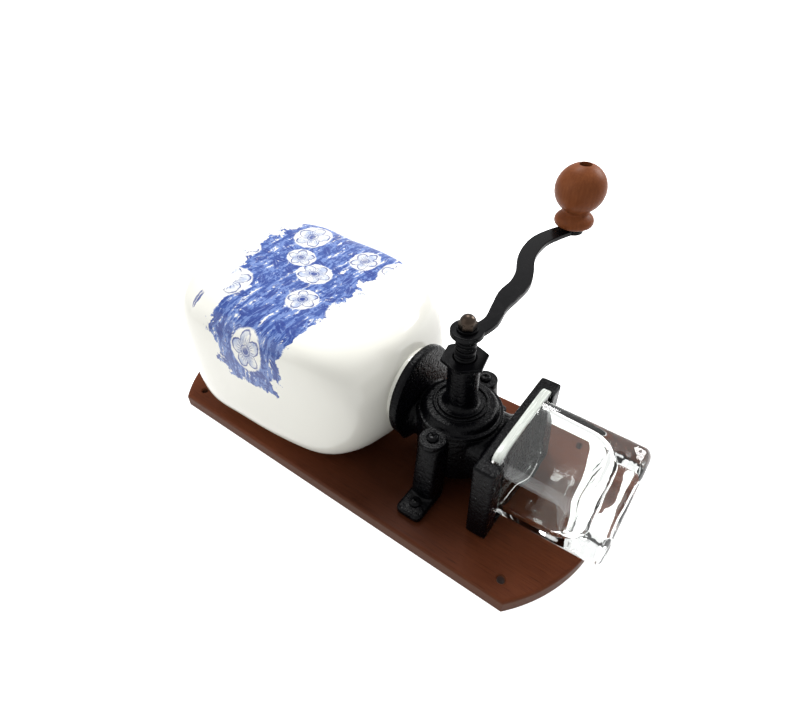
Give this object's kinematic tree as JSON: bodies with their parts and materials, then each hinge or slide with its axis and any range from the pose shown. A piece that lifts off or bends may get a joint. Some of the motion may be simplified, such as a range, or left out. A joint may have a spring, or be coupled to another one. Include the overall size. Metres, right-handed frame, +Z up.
{
  "type": "wall mounted coffee grinder",
  "caption": "Wall mounted hand crank coffee grinder: wooden board, black casting with a conical burr set, porcelain hopper above, curved crank with wooden knob, glass jar below.",
  "frame": {"origin": "On the flat back face of the wooden board, straight behind the crank's axle.", "axes": "+Z is up the board, -Y points out from the wall to the user, +X is to the user's right, where the crank points at rest."},
  "size_m": [0.2431, 0.1718, 0.3486],
  "materials": {
    "board_wood": "stained, satin lacquer",
    "casting": "black satin paint with a fine orange peel",
    "black_steel": "blackened, satin",
    "burr_steel": "machined, bare",
    "bronze": "brown bronze, polished",
    "knob_wood": "satin lacquer",
    "porcelain": "ivory white glazed porcelain with blue brushwork",
    "rubber": "matte",
    "jar_glass": "clear pressed glass"
  },
  "bodies": {
    "wall_unit": {"backboard": "board_wood", "grinder_body": "casting", "foot_screw_left": "black_steel", "foot_screw_right": "black_steel", "front_cover": "casting", "cover_screw_left": "black_steel", "cover_screw_right": "black_steel", "cover_bush": "bronze", "rear_bush": "bronze", "ring_burr": "burr_steel", "thrust_spring": "burr_steel", "hopper": "porcelain", "hopper_gasket": "rubber", "hopper_screw_left": "black_steel", "hopper_screw_right": "black_steel", "lid_seal": "rubber"},
    "thrust_collar": {"thrust_washer": "bronze"},
    "drive": {"spindle": "black_steel", "inner_burr": "burr_steel", "spring_washer": "burr_steel", "crank_arm": "black_steel", "crank_washer": "black_steel", "dome_nut": "bronze", "knob_pin": "black_steel", "knob_washer": "black_steel"},
    "setting_nut": {"adjusting_nut": "black_steel"},
    "hand_knob": {"knob": "knob_wood"},
    "jar": {"glass_jar": "jar_glass"},
    "hopper_lid": {"lid": "porcelain"}
  },
  "joints": [
    {"name": "crank_turn", "type": "hinge", "parent": "wall_unit", "child": "thrust_collar", "pos_m": [0, -0.1, 0], "axis": [0, 1, 0], "continuous": true},
    {"name": "grind_travel", "type": "slide", "parent": "thrust_collar", "child": "drive", "axis": [0, 1, 0], "range_m": [0, 0.0015]},
    {"name": "adjusting_nut_turn", "type": "hinge", "parent": "thrust_collar", "child": "setting_nut", "pos_m": [0, -0.103, 0], "axis": [0, -1, 0], "range_deg": [0, 270]},
    {"name": "knob_spin", "type": "hinge", "parent": "drive", "child": "hand_knob", "pos_m": [0.152, -0.14, 0], "axis": [0, 1, 0], "continuous": true},
    {"name": "jar_slide", "type": "slide", "parent": "wall_unit", "child": "jar", "axis": [0, -1, 0], "range_m": [0, 0.08]},
    {"name": "lid_lift", "type": "slide", "parent": "wall_unit", "child": "hopper_lid", "axis": [0, 0, 1], "range_m": [0, 0.05]}
  ],
  "couplings": [
    {"joint": "adjusting_nut_turn", "follows": "grind_travel", "rad_per_m": 3141.6}
  ]
}
